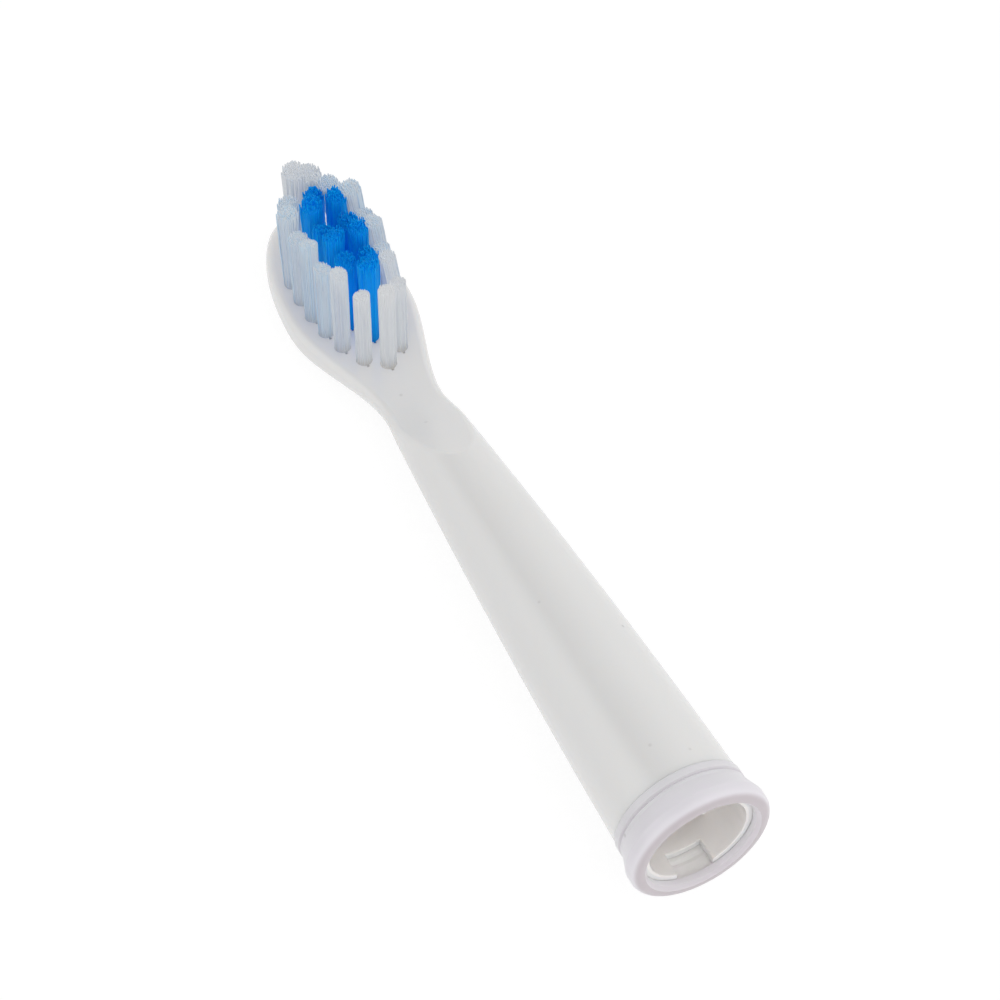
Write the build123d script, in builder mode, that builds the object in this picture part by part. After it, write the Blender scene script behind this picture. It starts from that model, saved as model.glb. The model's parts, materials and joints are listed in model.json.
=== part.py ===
from build123d import *

import os
from math import atan2, copysign, cos, degrees, pi, radians, sin, tan

# Electric toothbrush head, lying on its back with the bristles up. Millimetres.
# +X is right, +Y runs from the open end to the head, +Z is up from the surface it lies on.
# Heights are measured along the shaft axis from the open end of the ring.
# Levels are measured across the shaft axis, positive towards the bristles.

# Stem and neck
neck_height = 58.4
stem_base_radius = 6.45
neck_radius = 3.32
stem_belly = 0.5
stem_sections = 20

# Head
neck_to_widest = 15.0
widest_to_tip = 15.0
head_sections = 6
head_half_width = 6.65
girth_level = -1.3
head_back_depth = 3.5
back_flat_cut = 0.12
head_crown = 4.2
head_squareness = 2.6
plate_level = 0.5
plate_edge_round = 0.8
ramp_angle = 21.0
ramp_foot_below_neck = 1.0
ramp_blend_radius = 14.0

# Ring at the open end
ring_height = 4.7
ring_radius = 7.2
ring_edge_round = 0.9
ring_bead_height = 1.5
ring_waist_height = 3.2
ring_mouth_radius = 5.64
ring_mouth_chamfer = 0.35
ring_lip_thickness = 1.0
ring_wall = 0.62
ring_top_round = 0.12
ring_groove_height = 3.7
ring_groove_width = 0.4
ring_groove_depth = 0.18
ring_clearance = 0.03

# Spigot that carries the ring
spigot_radius = 5.95
spigot_bore_radius = 5.0
spigot_chamfer = 0.25
snap_height = 2.7
snap_width = 0.7
snap_rise = 0.15
notch_width = 3.8
notch_length = 2.4

# Drive socket and the ribs that carry it
socket_height = 5.1
socket_radius = 2.05
socket_length = 22.0
socket_lead_in = 0.4
tube_wall = 1.15
tube_draft = 0.3
stem_wall = 1.5
core_length = 21.0
rib_count = 4
rib_thickness = 1.0
rib_turn = 45.0

# Bristle tufts
tuft_radius = 0.83
tuft_clearance = 0.02
hole_depth = 2.5
tall_tuft = 11.0
short_tuft = 9.6
neck_tuft_above_neck = 5.85
first_row_above_neck = 7.4
row_pitch = 2.56
white_half_width = 4.18
blue_half_width = 1.4
# Half the distance across each row as a share of the widest, outer white pair first, then the blue pair:
# a blue share of zero is one tuft on the axis, and None is no blue tuft
tuft_rows = [
    (0.478, None),
    (0.766, 0.0),
    (0.914, 0.914),
    (0.986, 0.979),
    (1.0, 1.0),
    (0.969, 0.979),
    (0.67, 0.0),
    (0.299, None),
]

# Metal anchors that hold the folded tufts
anchor_thickness = 0.25
anchor_width = 2.1
anchor_height = 1.3
anchor_clearance = 0.01
fold_thickness = 0.4

# Sizes that follow from the ones above
widest_height = neck_height + neck_to_widest
tip_height = widest_height + widest_to_tip
back_half = head_back_depth + back_flat_cut + girth_level
spigot_end = ring_lip_thickness + ring_clearance
sleeve_radius = spigot_radius + ring_clearance
ring_top_radius = sleeve_radius + ring_wall
hole_radius = tuft_radius + tuft_clearance
core_end = socket_height + core_length
beyond = 2.0 * ring_radius

# The ring's widest circle and the head's back both touch the surface, so the shaft dips
dip = atan2(ring_radius - head_back_depth, widest_height - ring_edge_round)
axis_level = ring_radius * cos(dip) + ring_edge_round * sin(dip)
ring_end_reach = ring_edge_round * (1 - cos(dip)) + (ring_radius - ring_edge_round) * sin(dip)
tip_reach = tip_height * cos(dip) + girth_level * sin(dip)
mouth_y = (ring_end_reach - tip_reach) / 2

# shaft: local z along the stem, local y towards the bristles
shaft = Plane(origin=(0, mouth_y, axis_level), x_dir=(-1, 0, 0), z_dir=(0, cos(dip), -sin(dip)))
shaft_axis = Axis(shaft.origin, shaft.z_dir)
# side: local x along the stem, local y towards the bristles
side = Plane(origin=shaft.origin, x_dir=shaft.z_dir, z_dir=-shaft.x_dir)
# plate: local x right, local y along the stem, on the surface that the tufts stand on
plate = Plane(
    origin=shaft.from_local_coords((0, plate_level, 0)), x_dir=-shaft.x_dir, z_dir=shaft.y_dir
)


def stem_radius(height):
    """Radius of the stem, which tapers faster towards the neck."""
    share = (height - ring_height) / (neck_height - ring_height)
    taper = stem_belly * share + (1 - stem_belly) * share**2
    return stem_base_radius + (neck_radius - stem_base_radius) * taper


def cross_section(height, half_width, crown, back, level, squareness):
    """Closed section across the shaft: two half ovals that share their widest line."""
    point_count = 24
    points = []
    for step in range(point_count):
        angle = 2 * pi * step / point_count
        across = copysign(abs(cos(angle)) ** (2 / squareness), cos(angle))
        rise = copysign(abs(sin(angle)) ** (2 / squareness), sin(angle))
        reach = crown if rise > 0 else back
        points.append(Vector(half_width * across, level + reach * rise))
    outline = Edge.make_spline(points, periodic=True, parameters=list(range(point_count + 1)))
    with BuildSketch(shaft.offset(height)) as section:
        with BuildLine():
            add(outline)
        make_face()
    return section.sketch.face()


def head_section(share):
    """Section between the round neck, at share 0, and the widest part of the head, at 1."""
    blend = share * share * (3 - 2 * share)

    def mix(neck, head):
        return neck + (head - neck) * blend

    return cross_section(
        neck_height + neck_to_widest * share,
        mix(neck_radius, head_half_width),
        mix(neck_radius, head_crown),
        mix(neck_radius, back_half),
        mix(0, girth_level),
        mix(2, head_squareness),
    )


def nose_section(turn):
    """Section of the head's rounded end, which is half an oval in plan and from the side."""
    shrink = cos(radians(turn))
    return cross_section(
        widest_height + widest_to_tip * sin(radians(turn)),
        head_half_width * shrink,
        head_crown * shrink,
        back_half * shrink,
        girth_level,
        head_squareness,
    )


# Tuft places on the plate: across, along the stem, and length of the tuft
white_spots = [(0, neck_height + neck_tuft_above_neck, tall_tuft)]
blue_spots = []
for row, (white_share, blue_share) in enumerate(tuft_rows):
    along = neck_height + first_row_above_neck + row * row_pitch
    length = tall_tuft if row % 2 else short_tuft
    white_half = white_share * white_half_width
    white_spots += [(-white_half, along, length), (white_half, along, length)]
    if blue_share == 0:
        blue_spots.append((0, along, length))
    elif blue_share is not None:
        blue_half = blue_share * blue_half_width
        blue_spots += [(-blue_half, along, length), (blue_half, along, length)]
hole_places = [(across, along) for across, along, _ in white_spots + blue_spots]

# Sections of the moulding from the ring's shoulder to the head's rounded end
stem_heights = [
    ring_height + (neck_height - ring_height) * step / stem_sections for step in range(stem_sections)
]
skin_sections = [
    cross_section(height, stem_radius(height), stem_radius(height), stem_radius(height), 0, 2)
    for height in stem_heights
]
skin_sections += [head_section(step / head_sections) for step in range(head_sections + 1)]
skin_sections += [nose_section(turn) for turn in (12, 24, 36, 48, 60, 72)]
tip = Vertex(*shaft.from_local_coords((0, girth_level, tip_height)))

# Hollows between the drive socket's tube and the stem's wall, parted by the ribs
with BuildPart() as hollows:
    with BuildSketch(side):
        with BuildLine():
            Polyline(
                (socket_height, socket_radius + tube_wall),
                (socket_height, spigot_bore_radius),
                (core_end, stem_radius(core_end) - stem_wall),
                (core_end, socket_radius + tube_wall + tube_draft),
                close=True,
            )
        make_face()
    revolve(axis=shaft_axis)
    with BuildSketch(shaft.offset(socket_height)):
        with PolarLocations(0, rib_count, start_angle=rib_turn):
            Rectangle(spigot_bore_radius + rib_thickness, rib_thickness, align=(Align.MIN, Align.CENTER))
    extrude(amount=core_length, mode=Mode.SUBTRACT)

# Moulding: head, neck, stem, spigot and drive socket in one piece
with BuildPart() as brush_body:
    loft(sections=[*skin_sections, tip])

    # Flat front of the head, and the ramp that carries it out through the front of the neck
    ramp_foot = neck_height - ramp_foot_below_neck
    ramp_top = ramp_foot - (beyond - plate_level) / tan(radians(ramp_angle))
    with BuildSketch(side) as front:
        with BuildLine():
            Polyline(
                (tip_height + beyond, plate_level),
                (ramp_foot, plate_level),
                (ramp_top, beyond),
                (tip_height + beyond, beyond),
                close=True,
            )
        make_face()
        foot_corner = front.vertices().sort_by(Axis.X)[1]
        fillet(foot_corner, radius=ramp_blend_radius)
    extrude(amount=beyond, both=True, mode=Mode.SUBTRACT)
    front_faces = brush_body.faces(Select.LAST).filter_by(GeomType.BSPLINE, reverse=True)
    fillet(front_faces.edges().filter_by(GeomType.LINE, reverse=True), radius=plate_edge_round)

    # Flat that the head's back rests on
    with BuildSketch(Plane.XY):
        Rectangle(beyond, 2 * tip_height)
    extrude(amount=-beyond, mode=Mode.SUBTRACT)

    # Spigot with its snap bead
    with BuildSketch(side):
        with BuildLine():
            Polyline(
                (spigot_end, 0),
                (spigot_end, spigot_radius - spigot_chamfer),
                (spigot_end + spigot_chamfer, spigot_radius),
                (snap_height - snap_width / 2, spigot_radius),
                (snap_height, spigot_radius + snap_rise),
                (snap_height + snap_width / 2, spigot_radius),
                (ring_height, spigot_radius),
                (ring_height, 0),
                close=True,
            )
        make_face()
    revolve(axis=shaft_axis)

    # Mouth, locating notch, hollows and drive socket
    with BuildSketch(shaft.offset(spigot_end)):
        Circle(spigot_bore_radius)
    extrude(amount=socket_height - spigot_end, mode=Mode.SUBTRACT)
    with BuildSketch(shaft.offset(spigot_end)):
        Rectangle(notch_width, spigot_radius + snap_width, align=(Align.CENTER, Align.MAX))
    extrude(amount=notch_length, mode=Mode.SUBTRACT)
    add(hollows.part, mode=Mode.SUBTRACT)
    with BuildSketch(side):
        with BuildLine():
            Polyline(
                (socket_height, 0),
                (socket_height, socket_radius + socket_lead_in),
                (socket_height + socket_lead_in, socket_radius),
                (socket_height + socket_lead_in + socket_length, socket_radius),
                (socket_height + socket_lead_in + socket_length, 0),
                close=True,
            )
        make_face()
    revolve(axis=shaft_axis, mode=Mode.SUBTRACT)

    # Blind tuft holes, each with the track that its anchor cut on the way in
    with BuildSketch(plate):
        with Locations(*hole_places):
            Circle(hole_radius)
    extrude(amount=-hole_depth, mode=Mode.SUBTRACT)
    with BuildSketch(plate):
        with Locations(*hole_places):
            Rectangle(anchor_thickness + 2 * anchor_clearance, anchor_width + 2 * anchor_clearance)
    extrude(amount=fold_thickness - hole_depth, mode=Mode.SUBTRACT)

# Ring: rounded end bead, waist, groove and top band outside, snap groove inside
with BuildPart() as base_ring:
    with BuildSketch(side):
        with BuildLine():
            end_face = Line((0, ring_mouth_radius + ring_mouth_chamfer), (0, ring_radius - ring_edge_round))
            end_round = RadiusArc(end_face @ 1, (ring_edge_round, ring_radius), ring_edge_round)
            Polyline(
                end_round @ 1,
                (ring_bead_height, ring_radius),
                (ring_waist_height, ring_top_radius),
                (ring_groove_height - ring_groove_width / 2, ring_top_radius),
                (ring_groove_height, ring_top_radius - ring_groove_depth),
                (ring_groove_height + ring_groove_width / 2, ring_top_radius),
                (ring_height - ring_top_round, ring_top_radius),
                (ring_height, ring_top_radius - ring_top_round),
                (ring_height, sleeve_radius),
                (snap_height + snap_width / 2, sleeve_radius),
                (snap_height, sleeve_radius + snap_rise),
                (snap_height - snap_width / 2, sleeve_radius),
                (ring_lip_thickness, sleeve_radius),
                (ring_lip_thickness, ring_mouth_radius),
                (ring_mouth_chamfer, ring_mouth_radius),
                end_face @ 0,
            )
        make_face()
    revolve(axis=shaft_axis)


def make_tuft(across, along, length):
    """One tuft, folded under its anchor and standing in its hole."""
    with BuildPart() as tuft:
        with BuildSketch(plate.offset(-hole_depth)):
            with Locations((across, along)):
                Circle(tuft_radius)
        extrude(amount=hole_depth + length)
        with BuildSketch(plate.offset(fold_thickness - hole_depth)):
            with Locations((across, along)):
                Rectangle(anchor_thickness + 2 * anchor_clearance, anchor_width)
        extrude(amount=anchor_height + anchor_clearance, mode=Mode.SUBTRACT)
    return tuft.part


# Anchors, one across the foot of each tuft
with BuildPart() as tuft_anchors:
    with BuildSketch(plate.offset(fold_thickness - hole_depth)):
        with Locations(*hole_places):
            Rectangle(anchor_thickness, anchor_width)
    extrude(amount=anchor_height)

os.makedirs("parts", exist_ok=True)
brush_body.part.label = "brush_body"
export_step(brush_body.part, "parts/brush_body.step")
base_ring.part.label = "base_ring"
export_step(base_ring.part, "parts/base_ring.step")
tuft_anchors.part.label = "tuft_anchors"
export_step(tuft_anchors.part, "parts/tuft_anchors.step")
for colour, spots in (("white", white_spots), ("blue", blue_spots)):
    for number, spot in enumerate(spots, start=1):
        tuft_part = make_tuft(*spot)
        tuft_part.label = f"{colour}_tuft_{number:02d}"
        export_step(tuft_part, f"parts/{tuft_part.label}.step")
print("dip", round(degrees(dip), 3), "axis level", round(axis_level, 3), "mouth y", round(mouth_y, 3))
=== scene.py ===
import json
import logging
import math
from dataclasses import dataclass, field
from enum import Enum
from typing import ClassVar

import bpy
import numpy as np
from mathutils import Matrix, Vector


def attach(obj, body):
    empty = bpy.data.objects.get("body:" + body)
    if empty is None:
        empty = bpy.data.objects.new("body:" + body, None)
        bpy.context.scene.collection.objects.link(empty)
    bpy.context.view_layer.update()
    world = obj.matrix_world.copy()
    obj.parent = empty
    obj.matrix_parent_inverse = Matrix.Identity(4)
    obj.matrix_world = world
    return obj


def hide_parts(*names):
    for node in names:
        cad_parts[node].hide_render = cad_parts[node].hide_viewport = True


# Electric toothbrush head, lying on its back with the bristles up. Lengths are in metres.
# The stem's own axes are across (right), along (open end to head) and level (towards the bristles).

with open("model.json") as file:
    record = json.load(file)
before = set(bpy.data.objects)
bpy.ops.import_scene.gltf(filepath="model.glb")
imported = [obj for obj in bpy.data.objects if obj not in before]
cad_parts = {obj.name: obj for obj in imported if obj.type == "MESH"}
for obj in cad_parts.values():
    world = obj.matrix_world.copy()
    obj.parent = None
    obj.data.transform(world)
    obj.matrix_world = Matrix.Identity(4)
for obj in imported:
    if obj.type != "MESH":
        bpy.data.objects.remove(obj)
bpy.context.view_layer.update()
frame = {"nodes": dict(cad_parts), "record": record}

MM = 0.001
CARRIER = "root"
GOLDEN_ANGLE = math.pi * (3 - math.sqrt(5))
FULL_TURN = 2 * math.pi
log = logging.getLogger("toothbrush_head")

Colour = tuple[float, float, float]
Shares = tuple[float, ...]
SocketNames = dict[str, tuple[str, ...]]
Socket = bpy.types.NodeSocket


@dataclass(frozen=True)
class ShaftAxes:
    """The stem's own axes, read from the drive socket and the ring's end face.

    Attributes:
        origin: Point on the axis in the plane of the open end.
        axes: Unit vectors as rows, across, along and level.
    """

    origin: np.ndarray
    axes: np.ndarray

    @classmethod
    def from_mounts(cls, mounts: list[dict]) -> "ShaftAxes":
        """Work the axes out from the record's mounts.

        Args:
            mounts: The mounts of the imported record.

        Returns:
            The axes in the row frame.
        """
        named = {mount["name"]: mount for mount in mounts}
        along = -np.array(named["drive_socket"]["axis"], float)
        across = np.array([1.0, 0.0, 0.0])
        level = np.cross(across, along)
        socket = np.array(named["drive_socket"]["pos_m"], float)
        end_face = np.array(named["ring_end"]["pos_m"], float)
        origin = socket + along * ((end_face - socket) @ along)
        return cls(origin, np.stack([across, along, level]))

    def to_local(self, points: np.ndarray) -> np.ndarray:
        """Turn row-frame points, one row each, into across, along and level."""
        return (points - self.origin) @ self.axes.T

    def to_row(self, points: np.ndarray) -> np.ndarray:
        """Turn across, along and level, one row each, into row-frame points."""
        return points @ self.axes + self.origin


@dataclass
class MeshData:
    """Points, faces and point values of one mesh, as whole arrays.

    Attributes:
        points: Vertex places, one row each.
        quads: Four-sided faces as vertex indices.
        triangles: Three-sided faces as vertex indices.
        values: Named numbers, one for each vertex.
    """

    points: np.ndarray
    quads: np.ndarray
    triangles: np.ndarray
    values: dict[str, np.ndarray] = field(default_factory=dict)

    @classmethod
    def joined(cls, parts: list["MeshData"]) -> "MeshData":
        """Put several meshes with the same values into one.

        Args:
            parts: The meshes.

        Returns:
            The mesh of all of them.
        """
        shifts = np.cumsum([0] + [len(part.points) for part in parts[:-1]])
        names = parts[0].values
        return cls(
            np.concatenate([part.points for part in parts]),
            np.concatenate([part.quads + shift for part, shift in zip(parts, shifts)]),
            np.concatenate([part.triangles + shift for part, shift in zip(parts, shifts)]),
            {name: np.concatenate([part.values[name] for part in parts]) for name in names},
        )

    def to_object(self, name: str) -> bpy.types.Object:
        """Put the arrays into a smooth-shaded mesh object at the origin.

        Args:
            name: The piece's name.

        Returns:
            The object, linked to the scene.
        """
        mesh = bpy.data.meshes.new(name)
        corners = np.concatenate([self.quads.ravel(), self.triangles.ravel()]).astype(np.int32)
        sizes = np.repeat([4, 3], [len(self.quads), len(self.triangles)])
        starts = np.concatenate([[0], np.cumsum(sizes)[:-1]]).astype(np.int32)
        mesh.vertices.add(len(self.points))
        mesh.vertices.foreach_set("co", self.points.astype(np.float32).ravel())
        mesh.loops.add(len(corners))
        mesh.loops.foreach_set("vertex_index", corners)
        mesh.polygons.add(len(sizes))
        mesh.polygons.foreach_set("loop_start", starts)
        mesh.polygons.foreach_set("use_smooth", np.ones(len(sizes), bool))
        for value_name, numbers in self.values.items():
            layer = mesh.attributes.new(value_name, "FLOAT", "POINT")
            layer.data.foreach_set("value", numbers.astype(np.float32).ravel())
        mesh.update(calc_edges=True)
        mesh.validate()
        piece = bpy.data.objects.new(name, mesh)
        bpy.context.scene.collection.objects.link(piece)
        return piece


class NodeSheet:
    """A node tree with short calls for adding and linking nodes."""

    # Sockets of the mix node that work on colours
    mix_share = 0
    mix_colours = (6, 7)
    mix_result = 2

    def __init__(self, tree: bpy.types.NodeTree) -> None:
        """Hold the tree that the calls work on."""
        self.tree = tree

    def add(self, kind: str, inputs: dict | None = None, **settings: object) -> bpy.types.Node:
        """Add a node, set its properties and fill or link its inputs.

        Args:
            kind: The node's type name.
            inputs: Socket values or output sockets by input name or number.
            **settings: Properties of the node.

        Returns:
            The new node.
        """
        node = self.tree.nodes.new(kind)
        for setting, value in settings.items():
            setattr(node, setting, value)
        self.fill(node, inputs or {})
        return node

    def fill(self, node: bpy.types.Node, inputs: dict) -> None:
        """Fill or link a node's inputs.

        Args:
            node: The node.
            inputs: Socket values or output sockets by input name or number.
        """
        for socket, value in inputs.items():
            if isinstance(value, Socket):
                self.tree.links.new(value, node.inputs[socket])
            else:
                node.inputs[socket].default_value = value

    def math(self, operation: str, *values: float | Socket) -> Socket:
        """Add a maths node on numbers or sockets and give its result."""
        return self.add("ShaderNodeMath", dict(enumerate(values)), operation=operation).outputs[0]

    def vector_math(self, operation: str, *values: object) -> bpy.types.NodeOutputs:
        """Add a maths node on vectors or sockets and give its outputs, Vector and Value."""
        return self.add("ShaderNodeVectorMath", dict(enumerate(values)), operation=operation).outputs

    def group(self, tree: bpy.types.NodeTree, **inputs: object) -> bpy.types.NodeOutputs:
        """Add a node group, fill or link its inputs and give its outputs."""
        return self.add("ShaderNodeGroup", inputs, node_tree=tree).outputs

    def ramp(self, value: Socket, start: float, end: float, smooth: bool = True) -> Socket:
        """Rise from 0 to 1 between two numbers.

        Args:
            value: The number that the ramp follows.
            start: Number that gives 0.
            end: Number that gives 1.
            smooth: Whether the ramp's ends are rounded.

        Returns:
            The ramp's height.
        """
        node = self.add(
            "ShaderNodeMapRange",
            {"Value": value, "From Min": start, "From Max": end},
            interpolation_type="SMOOTHSTEP" if smooth else "LINEAR",
        )
        return node.outputs["Result"]

    def mix(self, share: Socket, first: Colour | Socket, second: Colour | Socket) -> Socket:
        """Mix two colours.

        Args:
            share: Share of the second colour.
            first: Colour at share 0.
            second: Colour at share 1.

        Returns:
            The mixed colour.
        """
        node = self.add("ShaderNodeMix", {self.mix_share: share}, data_type="RGBA")
        for number, tone in zip(self.mix_colours, (first, second)):
            self.fill(node, {number: tone if isinstance(tone, Socket) else (*tone, 1.0)})
        return node.outputs[self.mix_result]

    def show(self, share: Socket, first: bpy.types.Node, second: bpy.types.Node) -> None:
        """Show a mix of two shaders on the surface.

        Args:
            share: Share of the second shader.
            first: Shader at share 0.
            second: Shader at share 1.
        """
        shaders = {0: share, 1: first.outputs[0], 2: second.outputs[0]}
        blend = self.add("ShaderNodeMixShader", shaders)
        self.fill(self.tree.nodes["Material Output"], {"Surface": blend.outputs[0]})


def new_material(name: str) -> tuple[bpy.types.Material, NodeSheet, bpy.types.Node]:
    """Make a material.

    Args:
        name: The material's name.

    Returns:
        The material, a sheet on its nodes and its shader.
    """
    material = bpy.data.materials.new(name)
    material.use_nodes = True
    sheet = NodeSheet(material.node_tree)
    return material, sheet, material.node_tree.nodes["Principled BSDF"]


class SharedEffects:
    """Node groups that more than one material uses."""

    # Share of a speck's radius that is fully covered
    speck_core = 0.2
    # Depth of the hollow that shows in the mouth
    hollow_depth = 30 * MM
    # Shares of a filament's height over which its root and its tip change colour: painted shade at
    # the root, painted light at the tip
    root_fade = (0.02, 0.14)
    tip_fade = (0.8, 1.0)

    def __init__(self) -> None:
        """Build each group once."""
        self.grain = self._moulding_grain()
        self.speck = self._dust_speck()
        self.tint = self._filament_tint()
        self.inside = self._inside_mask()

    @staticmethod
    def _new_group(name: str, inputs: SocketNames, outputs: SocketNames) -> tuple:
        """Make an empty group with named sockets.

        Args:
            name: The group's name.
            inputs: Names of the inputs by their type.
            outputs: Names of the outputs by their type.

        Returns:
            The group, its sheet, the sockets that it is given and its output node.
        """
        group = bpy.data.node_groups.new(name, "ShaderNodeTree")
        for in_out, sockets in (("INPUT", inputs), ("OUTPUT", outputs)):
            for socket, kind in [(socket, kind) for kind in sockets for socket in sockets[kind]]:
                group.interface.new_socket(socket, in_out=in_out, socket_type=f"NodeSocket{kind}")
        sheet = NodeSheet(group)
        return group, sheet, sheet.add("NodeGroupInput").outputs, sheet.add("NodeGroupOutput")

    def _moulding_grain(self) -> bpy.types.NodeTree:
        """Build the unevenness of a moulded surface.

        The height is a fine noise. The shade is one, plus a slow noise about zero times its range.

        Returns:
            The group.
        """
        group, sheet, given, result = self._new_group(
            "moulding_grain",
            {"Vector": ("Place",), "Float": ("Fine", "Slow", "Range")},
            {"Float": ("Height", "Shade")},
        )
        place = given["Place"]
        fine = sheet.add(
            "ShaderNodeTexNoise", {"Vector": place, "Scale": given["Fine"], "Detail": 2.0}
        )
        slow = sheet.add(
            "ShaderNodeTexNoise", {"Vector": place, "Scale": given["Slow"], "Detail": 1.0}
        )
        about_zero = sheet.math("SUBTRACT", slow.outputs[0], 0.5)
        swing = sheet.math("MULTIPLY", about_zero, given["Range"])
        sheet.fill(result, {"Height": fine.outputs[0], "Shade": sheet.math("ADD", swing, 1.0)})
        return group

    def _dust_speck(self) -> bpy.types.NodeTree:
        """Build a round soft-edged mask about one place on the surface.

        The mask falls from its strength to zero with the distance as a share of the radius.

        Returns:
            The group.
        """
        group, sheet, given, result = self._new_group(
            "dust_speck",
            {"Vector": ("Place", "Centre"), "Float": ("Radius", "Strength")},
            {"Float": ("Mask",)},
        )
        gap = sheet.vector_math("DISTANCE", given["Place"], given["Centre"])["Value"]
        share = sheet.math("DIVIDE", gap, given["Radius"])
        cover = sheet.ramp(share, 1.0, self.speck_core)
        sheet.fill(result, {"Mask": sheet.math("MULTIPLY", cover, given["Strength"])})
        return group

    def _inside_mask(self) -> bpy.types.NodeTree:
        """Build a mask of the hollow, where the painted light goes: near the axis, past the lip, and
        not far from the open end.

        The distance along the axis is the dot product of the way from the origin with the axis,
        and the distance from the axis is the length of their cross product.

        Returns:
            The group.
        """
        group, sheet, given, result = self._new_group(
            "inside_mask",
            {"Vector": ("Place", "Origin", "Axis"), "Float": ("Radius", "Start")},
            {"Float": ("Mask",)},
        )
        way = sheet.vector_math("SUBTRACT", given["Place"], given["Origin"])["Vector"]
        along = sheet.vector_math("DOT_PRODUCT", way, given["Axis"])["Value"]
        sideways = sheet.vector_math("CROSS_PRODUCT", way, given["Axis"])["Vector"]
        off_axis = sheet.vector_math("LENGTH", sideways)["Value"]
        near = sheet.math("LESS_THAN", off_axis, given["Radius"])
        below = sheet.math("LESS_THAN", along, self.hollow_depth)
        past = sheet.math("GREATER_THAN", along, given["Start"])
        in_reach = sheet.math("MULTIPLY", below, past)
        sheet.fill(result, {"Mask": sheet.math("MULTIPLY", near, in_reach)})
        return group

    def _filament_tint(self) -> bpy.types.NodeTree:
        """Build the colour of a filament from its root to its tip, with painted shade at the root
        and painted light at the tip.

        The colour is mixed with the blush, a painted blue light from the blue tufts, and then
        multiplied by one plus the strand's number about zero times the shade range.

        Returns:
            The group.
        """
        group, sheet, given, result = self._new_group(
            "filament_tint",
            {
                "Float": ("Strand", "Reach", "Blush", "Range"),
                "Color": ("Root", "Middle", "Tip", "Other"),
            },
            {"Color": ("Color",)},
        )
        low = sheet.ramp(given["Reach"], *self.root_fade)
        high = sheet.ramp(given["Reach"], *self.tip_fade)
        lower = sheet.mix(low, given["Root"], given["Middle"])
        whole = sheet.mix(high, lower, given["Tip"])
        blushed = sheet.mix(given["Blush"], whole, given["Other"])
        about_zero = sheet.math("SUBTRACT", given["Strand"], 0.5)
        shade = sheet.math("MULTIPLY_ADD", about_zero, given["Range"], 1.0)
        sheet.fill(result, {"Color": sheet.vector_math("MULTIPLY", blushed, shade)["Vector"]})
        return group


@dataclass(frozen=True)
class Speck:
    """One dark speck on a surface.

    Attributes:
        along_mm: Distance along the stem from the open end.
        turn_deg: Angle round the stem, from the right side towards the bristles.
        reach_mm: Distance from the stem's axis.
        radius_mm: Radius of the speck.
        strength: How far the speck's colour covers the plastic.
    """

    along_mm: float
    turn_deg: float
    reach_mm: float
    radius_mm: float
    strength: float

    def centre(self, axes: ShaftAxes) -> np.ndarray:
        """Work out the speck's place from its angle and its distances.

        Args:
            axes: The stem's axes.

        Returns:
            The place in the row frame.
        """
        turn = math.radians(self.turn_deg)
        across, level = self.reach_mm * math.cos(turn), self.reach_mm * math.sin(turn)
        return axes.to_row(np.array([across, self.along_mm, level]) * MM)


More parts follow.
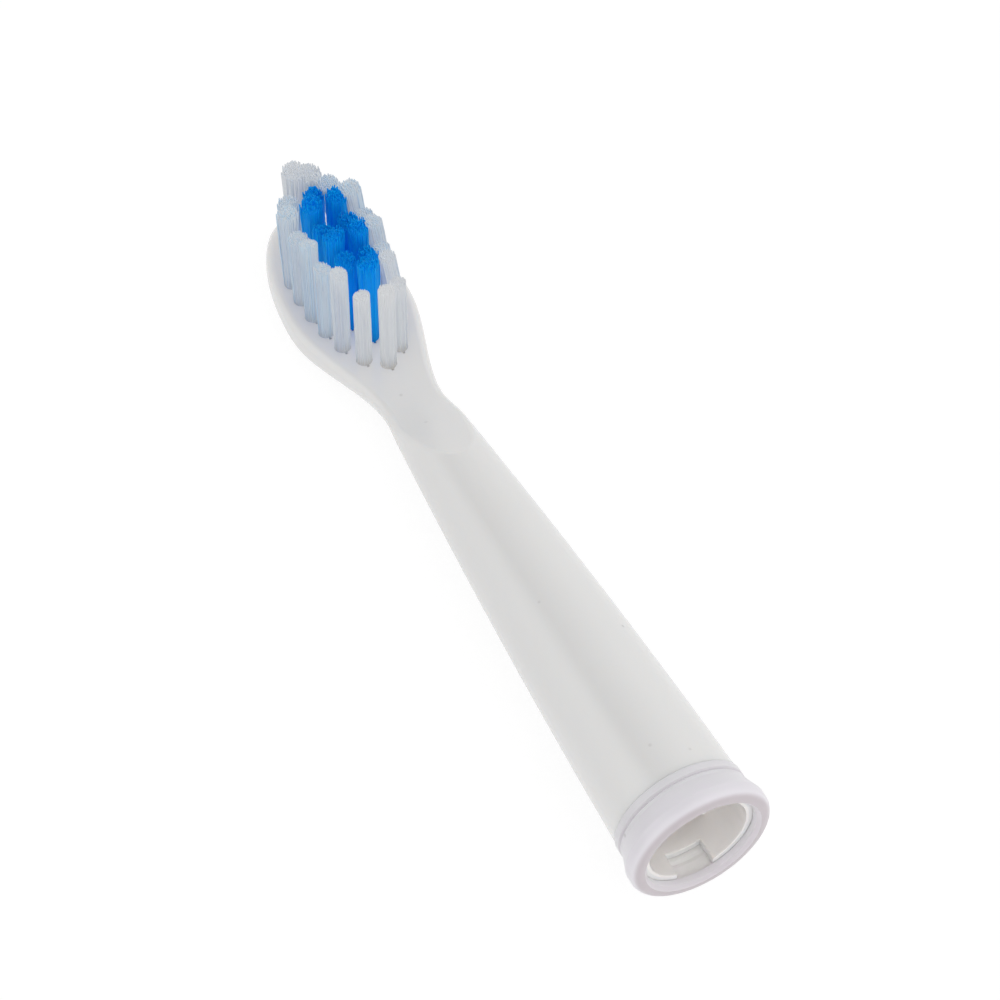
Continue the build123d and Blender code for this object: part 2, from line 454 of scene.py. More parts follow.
@dataclass(frozen=True)
class MouldedPlastic:
    """A satin moulded plastic that lets a little light in.

    Attributes:
        name: The material's name.
        colour: Colour of the plastic.
        roughness: Roughness of the surface.
        inner_weight: Share of the light that scatters inside.
        inner_reach: How far red, green and blue light travel inside.
        gloss: Strength of the mirror reflection.
        specks: Dark specks on the surface.
        end_painted_shade: Darker colour of the faces at the open end, painted shade.
        inside_painted_light: Lighter colour of the hollow side, painted light that comes through the
            thin wall.
        inside_radius_mm: Distance from the stem's axis within which the surface is inside.
        inside_start_mm: Distance from the open end at which the inside starts.
        speck_colour: Colour of the specks.
        grain_depth: Depth of the fine unevenness.
        fine_scale: Scale of the fine unevenness.
        slow_scale: Scale of the slow change of shade.
        shade_range: How much the shade changes.
        end_shade_facing: How squarely a face looks out where the painted shade of the end starts and
            is full.
    """

    name: str
    colour: Colour
    roughness: float
    inner_weight: float
    inner_reach: Colour
    gloss: float
    specks: tuple[Speck, ...] = ()
    end_painted_shade: Colour | None = None
    inside_painted_light: Colour | None = None
    inside_radius_mm: float = 0.0
    inside_start_mm: float = 0.0
    speck_colour: Colour = (0.2, 0.17, 0.15)
    grain_depth: float = 0.002 * MM
    fine_scale: float = 2600.0
    slow_scale: float = 90.0
    shade_range: float = 0.03
    end_shade_facing: tuple[float, float] = (0.5, 0.95)

    def material(self, effects: SharedEffects, axes: ShaftAxes) -> bpy.types.Material:
        """Build the material.

        Args:
            effects: The shared node groups.
            axes: The stem's axes, which place the specks.

        Returns:
            The new material.
        """
        material, sheet, shader = new_material(self.name)
        place = sheet.add("ShaderNodeTexCoord").outputs["Object"]
        grain = sheet.group(
            effects.grain,
            Place=place,
            Fine=self.fine_scale,
            Slow=self.slow_scale,
            Range=self.shade_range,
        )
        relief = {"Distance": self.grain_depth, "Height": grain["Height"]}
        bump = sheet.add("ShaderNodeBump", relief)
        colour = sheet.vector_math("MULTIPLY", self.colour, grain["Shade"])["Vector"]
        # Painted shade: the faces at the open end are darkened in the colour.
        if self.end_painted_shade is not None:
            colour = sheet.mix(self._end_shade_mask(sheet, axes), colour, self.end_painted_shade)
        # Painted light: the hollow is lightened in the colour, for light that comes through the thin
        # wall.
        if self.inside_painted_light is not None:
            inside = sheet.group(
                effects.inside,
                Place=place,
                Origin=axes.origin,
                Axis=axes.axes[1],
                Radius=self.inside_radius_mm * MM,
                Start=self.inside_start_mm * MM,
            )
            colour = sheet.mix(inside["Mask"], colour, self.inside_painted_light)
        for speck in self.specks:
            spot = sheet.group(
                effects.speck,
                Place=place,
                Centre=speck.centre(axes),
                Radius=speck.radius_mm * MM,
                Strength=speck.strength,
            )
            colour = sheet.mix(spot["Mask"], colour, self.speck_colour)
        sheet.fill(
            shader,
            {
                "Base Color": colour,
                "Normal": bump.outputs["Normal"],
                "Roughness": self.roughness,
                "Specular IOR Level": self.gloss,
                "Subsurface Weight": self.inner_weight,
                "Subsurface Radius": self.inner_reach,
                "Subsurface Scale": MM,
            },
        )
        return material

    def _end_shade_mask(self, sheet: NodeSheet, axes: ShaftAxes) -> Socket:
        """Mask the faces at the open end, which take the painted shade.

        Args:
            sheet: The material's sheet.
            axes: The stem's axes.

        Returns:
            1 where the surface looks out of the open end, and 0 where it looks sideways.
        """
        normal = sheet.add("ShaderNodeNewGeometry").outputs["Normal"]
        facing = sheet.vector_math("DOT_PRODUCT", normal, -axes.axes[1])["Value"]
        return sheet.ramp(facing, *self.end_shade_facing)


@dataclass(frozen=True)
class NylonFilament:
    """Nylon bristle filament, tinted from root to tip, with painted shade at the root and painted
    light at the tip.

    Attributes:
        name: The material's name.
        root: Darker colour at the plate, painted shade at the tuft's foot.
        middle: Colour along the filament.
        tip: Lighter colour at the tip, painted light on the filaments' ends.
        shade_range: How much the strands differ.
        roughness: Roughness of the surface.
        gloss: Strength of the mirror reflection.
        inner_weight: Share of the light that scatters inside.
        blush_light_colour: Colour of the painted blue light that it takes beside a blue tuft.
        pass_share: Share of the scattered light that goes straight through.
        pass_colour: Colour of that light.
        inner_scale: Distance that light travels inside.
    """

    name: str
    root: Colour
    middle: Colour
    tip: Colour
    shade_range: float
    roughness: float
    gloss: float
    inner_weight: float
    blush_light_colour: Colour
    pass_share: float = 0.0
    pass_colour: Colour = (1.0, 1.0, 1.0)
    inner_scale: float = 0.3 * MM

    def material(self, effects: SharedEffects) -> bpy.types.Material:
        """Build the material from the strand, reach and blush values of the mesh.

        Scattered light, and light on its way from a lamp, goes through in part.

        Args:
            effects: The shared node groups.

        Returns:
            The new material.
        """
        material, sheet, shader = new_material(self.name)
        values = {
            name.title(): sheet.add("ShaderNodeAttribute", attribute_name=name).outputs["Fac"]
            for name in ("strand", "reach", "blush")
        }
        # The blush is painted blue light from the blue tufts, mixed into the colour.
        tint = sheet.group(
            effects.tint,
            **values,
            Range=self.shade_range,
            Root=(*self.root, 1.0),
            Middle=(*self.middle, 1.0),
            Tip=(*self.tip, 1.0),
            Other=(*self.blush_light_colour, 1.0),
        )
        sheet.fill(
            shader,
            {
                "Base Color": tint["Color"],
                "Roughness": self.roughness,
                "Specular IOR Level": self.gloss,
                "Subsurface Weight": self.inner_weight,
                "Subsurface Radius": (1.0, 1.0, 1.0),
                "Subsurface Scale": self.inner_scale,
            },
        )
        path = sheet.add("ShaderNodeLightPath").outputs
        scattered = sheet.math("MAXIMUM", path["Is Diffuse Ray"], path["Is Shadow Ray"])
        share = sheet.math("MULTIPLY", scattered, self.pass_share)
        passing = sheet.add("ShaderNodeBsdfTransparent", {"Color": (*self.pass_colour, 1.0)})
        sheet.show(share, shader, passing)
        return material


@dataclass(frozen=True)
class AnchorMetal:
    """Plain stamped metal strip with faint mottling.

    Attributes:
        name: The material's name.
        colour: Colour of the metal.
        dark_share: Brightness of the darker patches, as a share of the colour.
        patch_scale: Scale of the patches.
        roughness: Roughness of the surface.
    """

    name: str = "anchor_metal"
    colour: Colour = (0.5, 0.46, 0.38)
    dark_share: float = 0.8
    patch_scale: float = 9000.0
    roughness: float = 0.35

    def material(self) -> bpy.types.Material:
        """Build the material.

        Returns:
            The new material.
        """
        material, sheet, shader = new_material(self.name)
        place = sheet.add("ShaderNodeTexCoord").outputs["Object"]
        patches = sheet.add(
            "ShaderNodeTexNoise", {"Vector": place, "Scale": self.patch_scale, "Detail": 2.0}
        )
        darker = tuple(self.dark_share * part for part in self.colour)
        colour = sheet.mix(patches.outputs[0], darker, self.colour)
        sheet.fill(shader, {"Base Color": colour, "Metallic": 1.0, "Roughness": self.roughness})
        return material


class TuftColour(Enum):
    """The two sorts of tuft, by the first word of their nodes' names."""

    WHITE = "white"
    BLUE = "blue"

    @classmethod
    def of(cls, name: str) -> "TuftColour":
        """Read the sort from the name of a tuft's node."""
        return cls(name.split("_")[0])

    @property
    def slot(self) -> str:
        """The record's material slot of this sort."""
        return f"{self.value}_filament"

    @property
    def stops_light(self) -> bool:
        """Whether scattered light and shadows stop at the tuft. White nylon is nearly clear."""
        return self is TuftColour.BLUE


@dataclass(frozen=True)
class TuftSeat:
    """Where one tuft stands, read from its solid.

    Attributes:
        across: Middle of the tuft across the stem.
        along: Middle of the tuft along the stem.
        foot: Level of the hole's bottom.
        top: Level of the tuft's end.
        radius: Radius of the tuft.
    """

    across: float
    along: float
    foot: float
    top: float
    radius: float

    @classmethod
    def from_node(cls, node: bpy.types.Object, axes: ShaftAxes) -> "TuftSeat":
        """Read the seat from a tuft's solid.

        Args:
            node: The CAD node.
            axes: The stem's axes.

        Returns:
            The seat in the stem's axes.
        """
        flat = np.empty(3 * len(node.data.vertices))
        node.data.vertices.foreach_get("co", flat)
        local = axes.to_local(flat.reshape(-1, 3))
        low, high = local.min(axis=0), local.max(axis=0)
        middle = (low + high) / 2
        return cls(middle[0], middle[1], low[2], high[2], (high[0] - low[0]) / 2)


@dataclass(frozen=True)
class Tubes:
    """Closed upright tubes of one make, each a stack of level rings.

    Attributes:
        centres: Middle of each ring, by tube and ring.
        girths: Radius of each ring, by tube and ring.
        tips: Middle of each tube's upper end.
        sides: Corners of a ring.
        strand: Shade number of each tube.
        blush: Share of the other sort's colour on each tube, painted light from the blue tufts.
    """

    centres: np.ndarray
    girths: np.ndarray
    tips: np.ndarray
    sides: int
    strand: np.ndarray
    blush: np.ndarray

    def mesh(self) -> MeshData:
        """Carry a ring of corners along each centreline, join the rings and close both ends.

        Returns:
            The tubes as arrays, with a strand and a blush value for each vertex.
        """
        count, rings = self.girths.shape
        angle = np.arange(self.sides) * FULL_TURN / self.sides
        circle = np.stack([np.cos(angle), np.sin(angle), np.zeros(self.sides)], axis=1)
        wall = self.centres[:, :, None, :] + self.girths[:, :, None, None] * circle
        poles = np.stack([self.centres[:, 0], self.tips], axis=1)
        points = np.concatenate([wall.reshape(count, -1, 3), poles], axis=1)
        per_tube = points.shape[1]

        edge = np.arange(self.sides)
        after = (edge + 1) % self.sides
        low = np.arange(rings - 1)[:, None] * self.sides
        high = low + self.sides
        band = np.stack([low + edge, low + after, high + after, high + edge], axis=-1)
        last = (rings - 1) * self.sides
        foot = np.stack([after, edge, np.full(self.sides, per_tube - 2)], axis=-1)
        tip = np.stack([last + edge, last + after, np.full(self.sides, per_tube - 1)], axis=-1)
        offset = (np.arange(count) * per_tube)[:, None, None]
        quads = (band.reshape(1, -1, 4) + offset).reshape(-1, 4)
        triangles = (np.concatenate([foot, tip])[None] + offset).reshape(-1, 3)
        shades = {"strand": self.strand, "blush": self.blush}
        values = {name: np.repeat(numbers, per_tube) for name, numbers in shades.items()}
        return MeshData(points.reshape(-1, 3), quads, triangles, values)


@dataclass(frozen=True)
class TuftWear:
    """How the tufts of one sort are cut and worn.

    Attributes:
        splay: How much wider a tuft is at its end, in the row at the neck and in the far row.
        ragged: How much the filaments differ in length.
        slant: Steepest slope of the cut end.
        core_short: How far the core ends below the filaments.
    """

    splay: tuple[float, float]
    ragged: float
    slant: float
    core_short: float


@dataclass(frozen=True)
class TuftForm:
    """What one tuft's filaments and its core have in common.

    Attributes:
        seat: Where the tuft stands.
        wear: How tufts of its sort are cut and worn.
        splay: How much wider the tuft is at its end.
        lean: How far its end is bent sideways.
        dome: How much lower the edge of its end is than the middle.
        plate: Level of the plate.
        start: Level at which the filaments start.
        length: Length from there to the end.
        blush: How much of the other sort's colour shows on it, as painted light from the blue tufts.
    """

    seat: TuftSeat
    wear: TuftWear
    splay: float
    lean: float
    dome: float
    plate: float
    start: float
    length: float
    blush: float


@dataclass
class BristleField:
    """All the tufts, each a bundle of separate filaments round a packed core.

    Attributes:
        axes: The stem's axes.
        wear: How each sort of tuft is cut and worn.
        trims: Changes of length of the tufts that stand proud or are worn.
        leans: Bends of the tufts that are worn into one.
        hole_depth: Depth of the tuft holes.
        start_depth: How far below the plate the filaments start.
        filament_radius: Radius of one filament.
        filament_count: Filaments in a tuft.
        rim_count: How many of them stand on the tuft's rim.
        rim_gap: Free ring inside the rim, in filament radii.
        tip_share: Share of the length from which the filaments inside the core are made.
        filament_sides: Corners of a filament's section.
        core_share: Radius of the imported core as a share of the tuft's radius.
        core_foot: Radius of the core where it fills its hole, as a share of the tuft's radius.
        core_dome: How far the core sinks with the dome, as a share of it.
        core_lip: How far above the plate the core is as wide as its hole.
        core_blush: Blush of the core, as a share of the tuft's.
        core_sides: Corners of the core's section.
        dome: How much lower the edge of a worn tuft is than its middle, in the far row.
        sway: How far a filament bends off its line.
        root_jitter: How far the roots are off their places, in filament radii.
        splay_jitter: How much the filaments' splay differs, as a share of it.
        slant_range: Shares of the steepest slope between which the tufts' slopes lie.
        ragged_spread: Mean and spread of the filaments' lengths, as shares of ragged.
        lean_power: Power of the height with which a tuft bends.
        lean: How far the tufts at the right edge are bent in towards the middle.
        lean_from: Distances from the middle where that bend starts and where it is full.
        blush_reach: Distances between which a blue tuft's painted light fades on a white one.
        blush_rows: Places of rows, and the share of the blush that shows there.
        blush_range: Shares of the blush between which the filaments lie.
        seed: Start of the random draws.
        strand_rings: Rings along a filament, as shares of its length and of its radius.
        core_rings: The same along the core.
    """

    axes: ShaftAxes
    wear: dict[TuftColour, TuftWear]
    trims: dict[str, float]
    leans: dict[str, float]
    hole_depth: float = 2.5 * MM
    start_depth: float = 1.0 * MM
    filament_radius: float = 0.078 * MM
    filament_count: int = 96
    rim_count: int = 28
    rim_gap: float = 1.6
    tip_share: float = 0.9
    filament_sides: int = 5
    core_share: float = 0.94
    core_foot: float = 1.03
    core_dome: float = 0.6
    core_lip: float = 0.02 * MM
    core_blush: float = 0.6
    core_sides: int = 18
    dome: float = 0.9 * MM
    sway: float = 0.05 * MM
    root_jitter: float = 0.15
    splay_jitter: float = 0.2
    slant_range: tuple[float, float] = (0.4, 1.0)
    ragged_spread: tuple[float, float] = (-0.3, 0.4)
    lean_power: float = 1.5
    lean: float = 1.1 * MM
    lean_from: tuple[float, float] = (2.0 * MM, 2.8 * MM)
    blush_reach: tuple[float, float] = (2.0 * MM, 4.6 * MM)
    blush_rows: tuple[Shares, Shares] = ((0.08, 0.35, 0.9, 1.0), (0.2, 1.0, 1.0, 0.3))
    blush_range: tuple[float, float] = (0.3, 1.0)
    seed: int = 41

    strand_rings: ClassVar[np.ndarray] = np.array(
        [[0.0, 0.3, 0.6, 0.85, 0.985, 0.997], [1.0, 1.0, 1.0, 1.0, 0.92, 0.6]]
    )
    core_rings: ClassVar[np.ndarray] = np.array(
        [[0.12, 0.3, 0.6, 0.85, 0.96, 0.985, 0.996], [1.0, 1.0, 1.0, 1.0, 0.96, 0.8, 0.5]]
    )

    def form(self, name: str, seat: TuftSeat, row_share: float, nearest: float) -> TuftForm:
        """Work out what a tuft's place makes of its form.

        Splay and dome grow with the square of the row's place. The blush, a painted blue light,
        fades with the distance from the nearest blue tuft.

        Args:
            name: The tuft's name, which gives its sort, its trim and its own lean.
            seat: Where the tuft stands.
            row_share: Place of its row, from 0 at the neck to 1 at the far end.
            nearest: Distance to the nearest blue tuft.

        Returns:
            The tuft's form.
        """
        wear = self.wear[TuftColour.of(name)]
        near_splay, far_splay = wear.splay
        edge_lean = -self.lean * np.interp(seat.across, self.lean_from, (0, 1))
        plate = seat.foot + self.hole_depth
        start = plate - self.start_depth
        beside_blue = np.interp(nearest, self.blush_reach, (1, 0))
        return TuftForm(
            seat=seat,
            wear=wear,
            splay=near_splay + (far_splay - near_splay) * row_share**2,
            lean=self.leans.get(name, edge_lean),
            dome=self.dome * row_share**2,
            plate=plate,
            start=start,
            length=seat.top - start + self.trims.get(name, 0.0),
            blush=beside_blue * np.interp(row_share, *self.blush_rows),
        )

    def filaments(self, form: TuftForm, random: np.random.Generator) -> Tubes:
        """Work out one tuft's filaments.

        The first roots stand evenly on the rim. The rest lie on a spiral that fills the inside
        evenly: radius with the square root of the strand's number, angle by the golden angle. The
        core hides these, so only their ends are made. A centreline runs from its root up the
        tuft, moves outwards with the splay, sideways with the lean and the strand's own sway. The
        end is cut on a slant and worn to a dome: the length changes with the root's place along
        the slant and with the square of its distance from the middle.

        Args:
            form: The tuft's form.
            random: Source of the random draws.

        Returns:
            The filaments, about the middle of the tuft.
        """
        count, rim = self.filament_count, self.rim_count
        inner = count - rim
        limit = form.seat.radius - self.filament_radius
        inner_limit = limit - self.rim_gap * self.filament_radius
        filled = inner_limit * np.sqrt((np.arange(inner) + 0.5) / inner)
        spread = np.concatenate([np.full(rim, limit), filled])
        evenly = np.arange(rim) * FULL_TURN / rim
        spiral = np.arange(inner) * GOLDEN_ANGLE
        turn = np.concatenate([evenly, spiral]) + random.uniform(0, FULL_TURN)
        root = np.stack([spread * np.cos(turn), spread * np.sin(turn)], axis=1)
        root += random.normal(0, self.root_jitter * self.filament_radius, root.shape)
        splay = form.splay + random.normal(0, self.splay_jitter * form.splay, (count, 1))
        outward = root * splay
        sway = random.normal(0, self.sway, (count, 2))
        cut = random.uniform(0, FULL_TURN)
        slope = random.uniform(*self.slant_range) * form.wear.slant
        slanted = slope * (root @ np.array([math.cos(cut), math.sin(cut)]))
        worn = form.dome * (spread / form.seat.radius) ** 2
        uneven = random.normal(*self.ragged_spread, count) * form.wear.ragged
        length = form.length + slanted - worn + uneven

        ring_share, thin = self.strand_rings
        low = np.where(np.arange(count) < rim, 0.0, self.tip_share)[:, None]
        share = low + (1 - low) * ring_share
        reach = share[:, :, None]
        bend = sway[:, None] * np.sin(math.pi * reach)
        centres = np.zeros((*share.shape, 3))
        centres[..., :2] = root[:, None] + outward[:, None] * reach + bend
        centres[..., 0] += form.lean * share**self.lean_power
        centres[..., 2] = form.start + length[:, None] * share
        tips = np.concatenate([centres[:, -1, :2], (form.start + length)[:, None]], axis=1)
        return Tubes(
            centres,
            np.full((count, 1), self.filament_radius) * thin,
            tips,
            self.filament_sides,
            random.uniform(0, 1, count),
            form.blush * random.uniform(*self.blush_range, count),
        )

    def core(self, form: TuftForm) -> Tubes:
        """Work out one tuft's packed core.

        The core fills the hole, stands in the middle, widens with the splay, bends with the lean
        and ends a little lower than the filaments in a round top.

        Args:
            form: The tuft's form.

        Returns:
            The core, about the middle of the tuft.
        """
        share, thin = self.core_rings
        length = form.length - form.wear.core_short - self.core_dome * form.dome
        in_hole = np.array([form.start, form.plate + self.core_lip])
        level = np.concatenate([in_hole, form.start + length * share])
        middle = np.zeros((1, len(level), 3))
        middle[0, len(in_hole) :, 0] = form.lean * share**self.lean_power
        middle[0, :, 2] = level
        widths = self.core_share * (1 + form.splay * share) * thin
        girth = form.seat.radius * np.concatenate([[self.core_foot] * len(in_hole), widths])
        top = np.array([[form.lean, 0.0, form.start + length]])
        blush = np.array([self.core_blush * form.blush])
        return Tubes(middle, girth[None], top, self.core_sides, np.array([0.5]), blush)

    def bundle(self, name: str, form: TuftForm) -> MeshData:
        """Put one tuft's filaments and its core together.

        Args:
            name: The tuft's name, which sets its random draws.
            form: The tuft's form.

        Returns:
            The tuft as arrays, with a strand, a reach and a blush value for each vertex.
        """
        random = np.random.default_rng([self.seed, *name.encode()])
        whole = MeshData.joined([self.filaments(form, random).mesh(), self.core(form).mesh()])
        height = form.seat.top - form.plate
        whole.values["reach"] = np.clip((whole.points[:, 2] - form.plate) / height, 0, 1)
        middle = np.array([form.seat.across, form.seat.along, 0.0])
        whole.points = self.axes.to_row(whole.points + middle)
        return whole

    def build(self, finishes: dict[TuftColour, bpy.types.Material]) -> None:
        """Make each tuft's filaments in place of its solid.

        Args:
            finishes: The material of each sort of tuft.
        """
        names = sorted(name for name in frame["nodes"] if "_tuft_" in name)
        sorts = [TuftColour.of(name) for name in names]
        seats = [TuftSeat.from_node(frame["nodes"][name], self.axes) for name in names]
        places = np.array([(seat.across, seat.along) for seat in seats])
        blue_places = places[[sort is TuftColour.BLUE for sort in sorts]]
        first, last = places[:, 1].min(), places[:, 1].max()
        for name, sort, seat, place in zip(names, sorts, seats, places):
            row_share = (seat.along - first) / (last - first)
            nearest = np.hypot(*(blue_places - place).T).min()
            form = self.form(name, seat, row_share, nearest)
            piece = self.bundle(name, form).to_object(f"{name}_filaments")
            piece.data.materials.append(finishes[sort])
            piece.visible_diffuse = piece.visible_shadow = sort.stops_light
            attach(piece, CARRIER)
            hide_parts(name)
            log.info("%s: %d filaments", piece.name, self.filament_count)


def dress_solids(finishes: dict[str, bpy.types.Material]) -> None:
    """Give the nodes that keep their solids their materials.

    Args:
        finishes: Material of each node.
    """
    for name, material in finishes.items():
        mesh = frame["nodes"][name].data
        mesh.materials.clear()
        mesh.materials.append(material)
        log.info("%s: %s", name, material.name)


@dataclass(frozen=True)
class SoftBox:
    """A large soft lamp, aimed at the object.

    Attributes:
        name: The lamp's name.
        direction: Way from the object to the lamp.
        distance: Distance from the object.
        size: Width and height of the lit face.
        radiance: Brightness of the lit face, where the white floor is 1.
        colour: Colour of the light.
    """

    name: str
    direction: tuple[float, float, float]
    distance: float
    size: tuple[float, float]
    radiance: float
    colour: Colour

    def build(self) -> None:
        """Create the lamp, which reflections do not show.

        Its power is radiance times pi times the area of its face.
        """
        lamp = bpy.data.lights.new(self.name, "AREA")
        lamp.shape = "RECTANGLE"
        lamp.size, lamp.size_y = self.size
        lamp.color = self.colour
        lamp.energy = self.radiance * math.pi * self.size[0] * self.size[1]
        holder = bpy.data.objects.new(self.name, lamp)
        way = Vector(self.direction).normalized()
        turn = way.to_track_quat("Z", "Y").to_matrix().to_4x4()
        holder.matrix_world = Matrix.Translation(way * self.distance) @ turn
        holder.visible_glossy = False
        bpy.context.scene.collection.objects.link(holder)


@dataclass(frozen=True)
class Studio:
    """White floor, even soft light and the camera.

    Attributes:
        target: Point that the camera looks at.
        heading_deg: Direction of view, from along the stem towards the right.
        elevation_deg: Height of the camera above the horizon.
        roll_deg: Turn of the camera about its line of sight.
        distance: Distance from the camera to the target.
        lens_mm: Focal length.
        sensor_mm: Width of the sensor.
        clip: Nearest and farthest distance that the camera sees.
        floor_half_width: Half the side of the floor.
        floor_colour: Colour of the floor.
        floor_glow: Share of the floor's look that glows by itself.
        floor_glow_strength: Brightness of that glow.
        sky_strength: Brightness of the even light.
        soft_boxes: The lamps.
        tent_gap: Where the light tent's dark gap starts, is deepest and ends, from left to right.
        tent_gap_end: Where the gap ends and where it is full, from far to near.
    """

    target: tuple[float, float, float] = (2.06 * MM, -0.293 * MM, 5.0 * MM)
    heading_deg: float = 29.353
    elevation_deg: float = 53.902
    roll_deg: float = 2.577
    distance: float = 293.0 * MM
    lens_mm: float = 108.0
    sensor_mm: float = 36.0
    clip: tuple[float, float] = (0.01, 10.0)
    floor_half_width: float = 1.2
    floor_colour: Colour = (0.98, 0.98, 0.98)
    floor_glow: float = 0.8
    floor_glow_strength: float = 1.08
    sky_strength: float = 0.71
    soft_boxes: tuple[SoftBox, ...] = (
        SoftBox("front_box", (0.25, -0.6, 0.76), 0.6, (0.5, 0.5), 0.4, (1.0, 0.98, 0.95)),
        SoftBox("low_box", (0.1, -0.94, 0.33), 0.6, (0.5, 0.5), 0.55, (1.0, 0.99, 0.97)),
    )
    tent_gap: tuple[float, float, float] = (-0.7, -0.3, 0.7)
    tent_gap_end: tuple[float, float] = (0.92, 0.66)

    def camera(self) -> None:
        """Create the camera from its target, heading, elevation, roll and distance.

        Right and up are level and square to the line of sight, and then turned by the roll.
        """
        heading, height = math.radians(self.heading_deg), math.radians(self.elevation_deg)
        flat = math.cos(height)
        forward = Vector((math.sin(heading) * flat, math.cos(heading) * flat, -math.sin(height)))
        level_right = forward.cross(Vector((0, 0, 1))).normalized()
        level_up = level_right.cross(forward)
        roll = math.radians(self.roll_deg)
        right = level_right * math.cos(roll) + level_up * math.sin(roll)
        up = level_up * math.cos(roll) - level_right * math.sin(roll)
        lens = bpy.data.cameras.new("camera")
        lens.lens = self.lens_mm
        lens.sensor_width = self.sensor_mm
        lens.clip_start, lens.clip_end = self.clip
        holder = bpy.data.objects.new("camera", lens)
        turn = Matrix((right, up, -forward)).transposed().to_4x4()
        place = Vector(self.target) - forward * self.distance
        holder.matrix_world = Matrix.Translation(place) @ turn
        bpy.context.scene.collection.objects.link(holder)
        bpy.context.scene.camera = holder

    def floor(self) -> None:
        """Lay a white floor that keeps a faint shadow."""
        reach = self.floor_half_width
        corners = np.array([[-1, -1, 0], [1, -1, 0], [1, 1, 0], [-1, 1, 0]], float) * reach
        square = MeshData(corners, np.array([[0, 1, 2, 3]]), np.empty((0, 3), int))
        piece = square.to_object("floor")
        material, sheet, shader = new_material("white_floor")
        sheet.fill(shader, {"Base Color": (*self.floor_colour, 1.0), "Specular IOR Level": 0.0})
        glow = sheet.add("ShaderNodeEmission", {"Strength": self.floor_glow_strength})
        path = sheet.add("ShaderNodeLightPath").outputs
        share = sheet.math("MULTIPLY", self._seen_directly(sheet, path), self.floor_glow)
        sheet.show(share, shader, glow)
        piece.data.materials.append(material)

    @staticmethod
    def _seen_directly(sheet: NodeSheet, path: bpy.types.NodeOutputs) -> Socket:
        """Give 1 for camera, glossy and transmission rays, and 0 for those that only light."""
        first = sheet.math("MAXIMUM", path["Is Camera Ray"], path["Is Glossy Ray"])
        return sheet.math("MAXIMUM", first, path["Is Transmission Ray"])

    def sky(self) -> None:
        """Light the scene evenly, with a white background and a dark gap in the reflections."""
        world = bpy.data.worlds.new("studio")
        world.use_nodes = True
        bpy.context.scene.world = world
        sheet = NodeSheet(world.node_tree)
        path = sheet.add("ShaderNodeLightPath").outputs
        seen = self._seen_directly(sheet, path)
        strength = sheet.math("MULTIPLY_ADD", seen, 1.0 - self.sky_strength, self.sky_strength)
        gap = sheet.math("MULTIPLY", self._tent_gap(sheet), path["Is Glossy Ray"])
        left_over = sheet.math("SUBTRACT", 1.0, gap)
        light = {"Color": (1, 1, 1, 1), "Strength": sheet.math("MULTIPLY", strength, left_over)}
        sheet.fill(world.node_tree.nodes["Background"], light)

    def _tent_gap(self, sheet: NodeSheet) -> Socket:
        """Shape the dark gap of the light tent by the direction of the reflection.

        The gap rises fast from the left, falls slowly to the right and fades to the far end.

        Args:
            sheet: The world's sheet.

        Returns:
            1 where the gap is deepest, and 0 outside it.
        """
        left, deepest, right = self.tent_gap
        way = sheet.add("ShaderNodeTexCoord").outputs["Generated"]
        parts = sheet.add("ShaderNodeSeparateXYZ", {0: way}).outputs
        rise = sheet.ramp(parts["X"], left, deepest)
        fall = sheet.ramp(parts["X"], right, deepest, smooth=False)
        fade = sheet.ramp(parts["Y"], *self.tent_gap_end, smooth=False)
        return sheet.math("MULTIPLY", sheet.math("MINIMUM", rise, fall), fade)

    def build(self) -> None:
        """Set up the whole studio."""
        self.camera()
        self.floor()
        self.sky()
        for soft_box in self.soft_boxes:
            soft_box.build()
        bpy.context.scene.view_settings.view_transform = "Standard"


TUFT_WEAR = {
    TuftColour.WHITE: TuftWear((0.05, 0.62), ragged=0.12 * MM, slant=0.25, core_short=0.25 * MM),
    TuftColour.BLUE: TuftWear((0.34, 0.46), ragged=0.4 * MM, slant=0.5, core_short=0.4 * MM),
}
TUFT_TRIMS = {
    "white_tuft_13": 0.4 * MM,
    "white_tuft_15": 0.8 * MM,
    "white_tuft_16": 0.3 * MM,
    "white_tuft_17": -0.8 * MM,
}
TUFT_LEANS = {"white_tuft_16": 0.25 * MM, "white_tuft_17": -0.65 * MM}
STEM_SPECKS = (
    Speck(27.67, 113.1, 5.49, 0.22, 0.14),
    Speck(22.06, 50.3, 5.78, 0.26, 0.3),
    Speck(8.31, 100.8, 6.34, 0.26, 0.14),
    Speck(6.36, 73.5, 6.4, 0.24, 0.14),
    Speck(59.86, 147.1, 0.92, 0.28, 0.16),
    Speck(54.78, 107.7, 1.58, 0.26, 0.12),
)
RING_SPECKS = (Speck(3.34, 162.9, 6.6, 0.3, 0.25),)
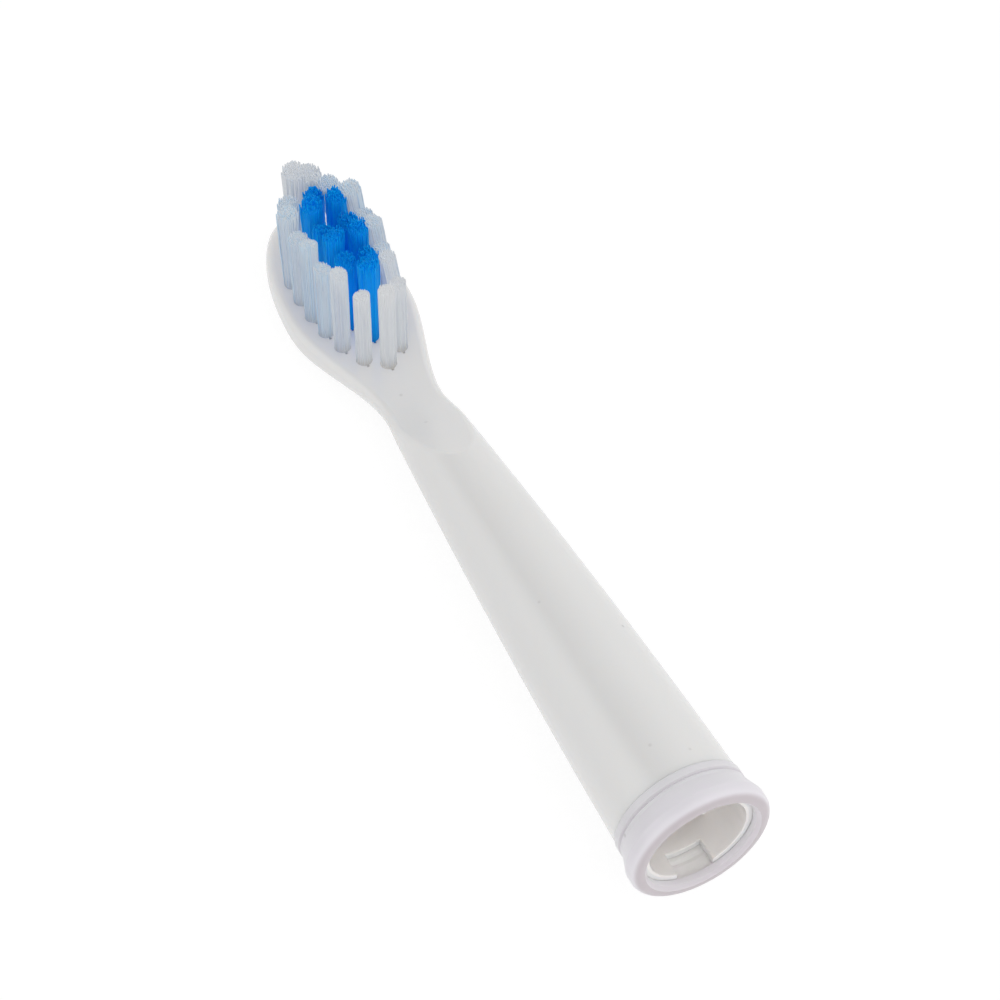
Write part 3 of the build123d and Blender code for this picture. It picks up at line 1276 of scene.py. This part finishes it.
WHITE_PLASTIC = MouldedPlastic(
    name="white_plastic",
    colour=(0.885, 0.882, 0.876),
    roughness=0.22,
    inner_weight=0.35,
    inner_reach=(1.0, 0.9, 0.8),
    gloss=1.0,
    specks=STEM_SPECKS,
    # Lighter, warmer inside: painted light in the stem's hollow.
    inside_painted_light=(0.985, 0.95, 0.925),
    inside_radius_mm=5.25,
)
LAVENDER_PLASTIC = MouldedPlastic(
    name="lavender_plastic",
    colour=(0.875, 0.85, 0.9),
    roughness=0.3,
    inner_weight=0.5,
    inner_reach=(1.0, 0.9, 1.0),
    gloss=0.5,
    specks=RING_SPECKS,
    # Painted shade on the ring's end faces, darker than the ring's own colour.
    end_painted_shade=(0.61, 0.56, 0.59),
    # Lighter inside: painted light on the ring's inner wall.
    inside_painted_light=(0.98, 0.96, 0.95),
    inside_radius_mm=6.2,
    inside_start_mm=1.1,
)
WHITE_NYLON = NylonFilament(
    name="white_nylon",
    # Darker root: painted shade at the foot. Lighter tip: painted light on the ends.
    root=(0.56, 0.535, 0.5),
    middle=(0.635, 0.665, 0.695),
    tip=(0.67, 0.685, 0.71),
    shade_range=0.05,
    roughness=0.4,
    gloss=0.4,
    inner_weight=0.8,
    # Painted blue light that the white nylon takes beside the blue tufts.
    blush_light_colour=(0.38, 0.58, 0.8),
)
BLUE_NYLON = NylonFilament(
    name="blue_nylon",
    # Darker root: painted shade at the foot. Lighter tip: painted light on the ends.
    root=(0.0, 0.24, 0.9),
    middle=(0.0, 0.27, 0.98),
    tip=(0.0, 0.32, 0.97),
    shade_range=0.2,
    roughness=0.5,
    gloss=0.1,
    inner_weight=0.6,
    pass_share=0.97,
    pass_colour=(0.5, 0.8, 1.0),
    # Painted light from the neighbouring blue tufts.
    blush_light_colour=(0.0, 0.28, 0.98),
)


def main() -> None:
    """Build and dress the brush head and set up the studio."""
    logging.basicConfig(level=logging.INFO, format="%(name)s: %(message)s")
    axes = ShaftAxes.from_mounts(frame["record"]["mounts"])
    effects = SharedEffects()
    finishes = {
        "brush_body": WHITE_PLASTIC.material(effects, axes),
        "base_ring": LAVENDER_PLASTIC.material(effects, axes),
        "tuft_anchors": AnchorMetal().material(),
    }
    dress_solids(finishes)
    bristles = BristleField(axes, TUFT_WEAR, TUFT_TRIMS, TUFT_LEANS)
    nylons = {TuftColour.WHITE: WHITE_NYLON, TuftColour.BLUE: BLUE_NYLON}
    bristles.build({sort: nylon.material(effects) for sort, nylon in nylons.items()})
    Studio().build()


if __name__ == "__main__":
    main()
